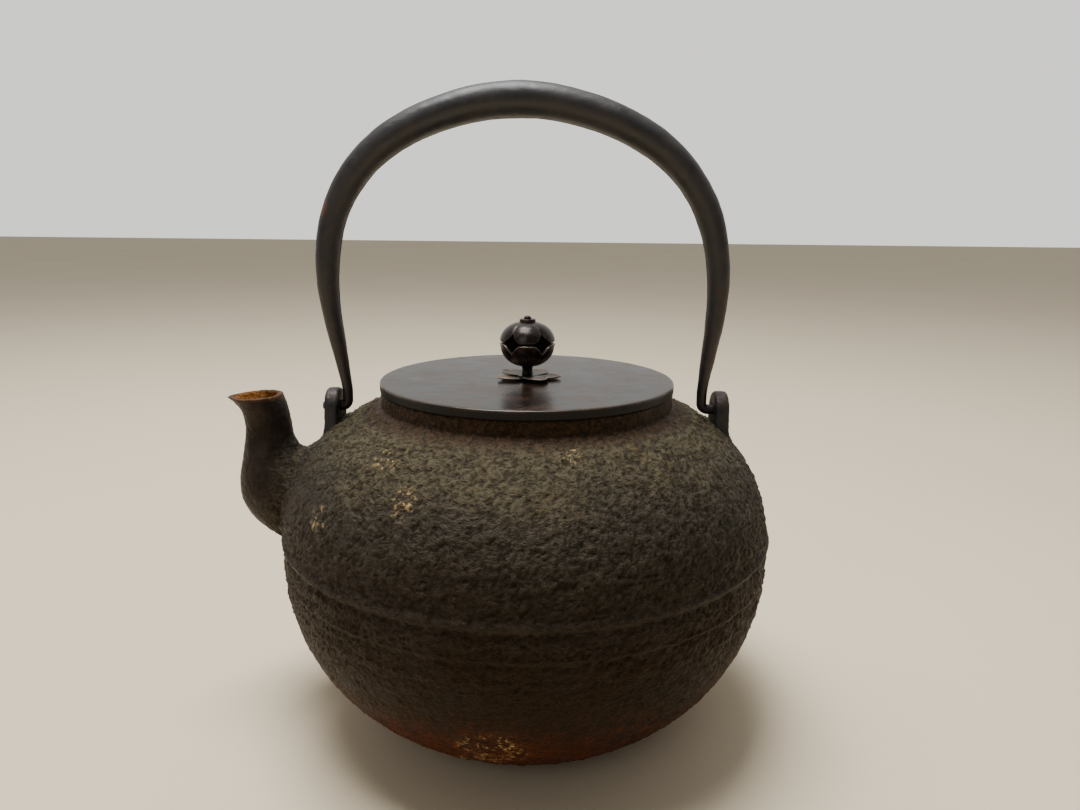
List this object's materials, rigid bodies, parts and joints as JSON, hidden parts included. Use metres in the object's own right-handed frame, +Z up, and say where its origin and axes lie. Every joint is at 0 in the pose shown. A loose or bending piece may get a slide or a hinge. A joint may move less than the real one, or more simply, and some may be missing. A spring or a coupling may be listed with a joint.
{
  "type": "iron kettle",
  "caption": "Round cast iron kettle with a swinging bail handle, a pouring spout and a flat bronze lid with a bud-shaped knob.",
  "frame": {"origin": "centre of the flat base, on the surface the kettle stands on", "axes": "+Z up through the lid knob; the spout points along -X; the bail hangs on pins along X and stands upright in the XZ plane"},
  "size_m": [0.1863, 0.166, 0.2127],
  "materials": {
    "cast_iron_skin": "pebbled as-cast skin, dull, rusted towards the base and at the collar",
    "spout_iron": "smoother cast iron, dull, rust at the mouth",
    "forged_iron": "forged and lacquered iron, satin",
    "lid_bronze": "dark brown patinated bronze, semi-gloss",
    "copper_fittings": "browned copper, satin",
    "rosette_copper": "worn copper, satin",
    "knob_bronze": "dark patinated bronze, polished",
    "knob_dark": "black patina, polished"
  },
  "bodies": {
    "kettle": {"kettle_base": "cast_iron_skin", "kettle_wall_lower": "cast_iron_skin", "kettle_wall_upper": "cast_iron_skin", "kettle_shoulder": "cast_iron_skin", "spout": "spout_iron", "lug_spout_side": "cast_iron_skin", "lug_back_side": "cast_iron_skin"},
    "bail": {"bail_handle": "forged_iron"},
    "lid": {"lid_plate": "lid_bronze", "lid_skirt": "lid_bronze", "lid_under_washer": "copper_fittings", "knob_rosette": "rosette_copper"},
    "knob": {"knob_core": "knob_dark", "knob_calyx": "knob_bronze", "knob_petals": "knob_bronze", "knob_top_washer": "knob_bronze", "knob_stem": "knob_bronze", "knob_pin": "copper_fittings"}
  },
  "joints": [
    {"name": "bail_swing", "type": "hinge", "parent": "kettle", "child": "bail", "pos_m": [0, 0, 0.1066], "axis": [1, 0, 0], "range_deg": [-92, 92]},
    {"name": "lid_lift", "type": "slide", "parent": "kettle", "child": "lid", "axis": [0, 0, 1], "range_m": [0, 0.045]},
    {"name": "knob_spin", "type": "hinge", "parent": "lid", "child": "knob", "pos_m": [0, 0, 0.117], "axis": [0, 0, 1], "continuous": true}
  ]
}
